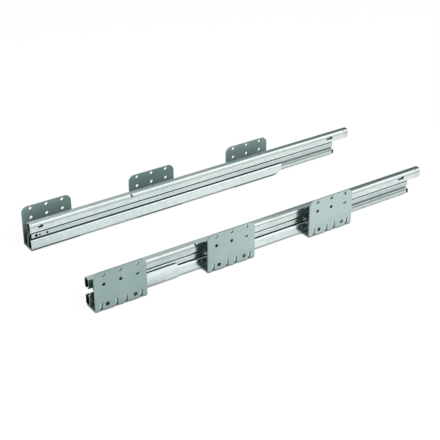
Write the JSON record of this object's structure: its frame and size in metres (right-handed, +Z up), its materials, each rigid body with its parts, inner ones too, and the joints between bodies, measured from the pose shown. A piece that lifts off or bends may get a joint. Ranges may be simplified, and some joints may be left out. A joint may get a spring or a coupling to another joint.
{
  "type": "full-extension drawer slide pair",
  "caption": "Mirrored pair of ball-bearing full-extension drawer slides: stacked C rails joined by a double-headed centre rail, on angle brackets with screw holes.",
  "frame": {"origin": "middle of the underside of the bracket flanges, halfway along the drawer rails and halfway between the two slides", "axes": "X along the rails with the drawer opening towards -X, Y across with the right-hand slide at -Y, Z up"},
  "size_m": [0.738, 0.276, 0.0755],
  "materials": {
    "zinc_rail": "bright zinc, glossy",
    "zinc_centre": "bright zinc, satin",
    "zinc_bracket": "grey-green zinc, satin",
    "rivet_steel": "zinc, satin",
    "cage_steel": "oiled steel",
    "ball_steel": "polished",
    "plug_plastic": "matt"
  },
  "bodies": {
    "fixed_part": {"right_cabinet_rail": "zinc_rail", "right_front_stiffener": "zinc_rail", "right_front_bracket": "zinc_bracket", "right_middle_bracket": "zinc_bracket", "right_rear_bracket": "zinc_bracket", "right_bracket_rivets": "rivet_steel", "left_cabinet_rail": "zinc_rail", "left_front_stiffener": "zinc_rail", "left_front_bracket": "zinc_bracket", "left_middle_bracket": "zinc_bracket", "left_rear_bracket": "zinc_bracket", "left_bracket_rivets": "rivet_steel"},
    "right_lower_cage_body": {"right_lower_ball_cage": "cage_steel", "right_lower_balls": "ball_steel"},
    "right_centre_body": {"right_centre_rail": "zinc_centre", "right_centre_rear_plug": "plug_plastic", "right_centre_front_plug": "plug_plastic"},
    "right_upper_cage_body": {"right_upper_ball_cage": "cage_steel", "right_upper_balls": "ball_steel"},
    "right_drawer_body": {"right_drawer_rail": "zinc_rail"},
    "left_lower_cage_body": {"left_lower_ball_cage": "cage_steel", "left_lower_balls": "ball_steel"},
    "left_centre_body": {"left_centre_rail": "zinc_centre", "left_centre_rear_plug": "plug_plastic", "left_centre_front_plug": "plug_plastic"},
    "left_upper_cage_body": {"left_upper_ball_cage": "cage_steel", "left_upper_balls": "ball_steel"},
    "left_drawer_body": {"left_drawer_rail": "zinc_rail"}
  },
  "joints": [
    {"name": "right_centre_slide", "type": "slide", "parent": "fixed_part", "child": "right_centre_body", "axis": [-1, 0, 0], "range_m": [0, 0.37]},
    {"name": "right_lower_cage_roll", "type": "slide", "parent": "fixed_part", "child": "right_lower_cage_body", "axis": [-1, 0, 0], "range_m": [0, 0.185]},
    {"name": "right_drawer_slide", "type": "slide", "parent": "right_centre_body", "child": "right_drawer_body", "axis": [-1, 0, 0], "range_m": [-0.01, 0.368]},
    {"name": "right_upper_cage_roll", "type": "slide", "parent": "right_centre_body", "child": "right_upper_cage_body", "axis": [-1, 0, 0], "range_m": [-0.005, 0.184]},
    {"name": "left_centre_slide", "type": "slide", "parent": "fixed_part", "child": "left_centre_body", "axis": [-1, 0, 0], "range_m": [-0.01, 0.36]},
    {"name": "left_lower_cage_roll", "type": "slide", "parent": "fixed_part", "child": "left_lower_cage_body", "axis": [-1, 0, 0], "range_m": [-0.005, 0.18]},
    {"name": "left_drawer_slide", "type": "slide", "parent": "left_centre_body", "child": "left_drawer_body", "axis": [-1, 0, 0], "range_m": [0, 0.378]},
    {"name": "left_upper_cage_roll", "type": "slide", "parent": "left_centre_body", "child": "left_upper_cage_body", "axis": [-1, 0, 0], "range_m": [0, 0.189]}
  ],
  "couplings": [
    {"joint": "right_lower_cage_roll", "follows": "right_centre_slide", "ratio": 0.5},
    {"joint": "right_upper_cage_roll", "follows": "right_drawer_slide", "ratio": 0.5},
    {"joint": "left_lower_cage_roll", "follows": "left_centre_slide", "ratio": 0.5},
    {"joint": "left_upper_cage_roll", "follows": "left_drawer_slide", "ratio": 0.5}
  ]
}
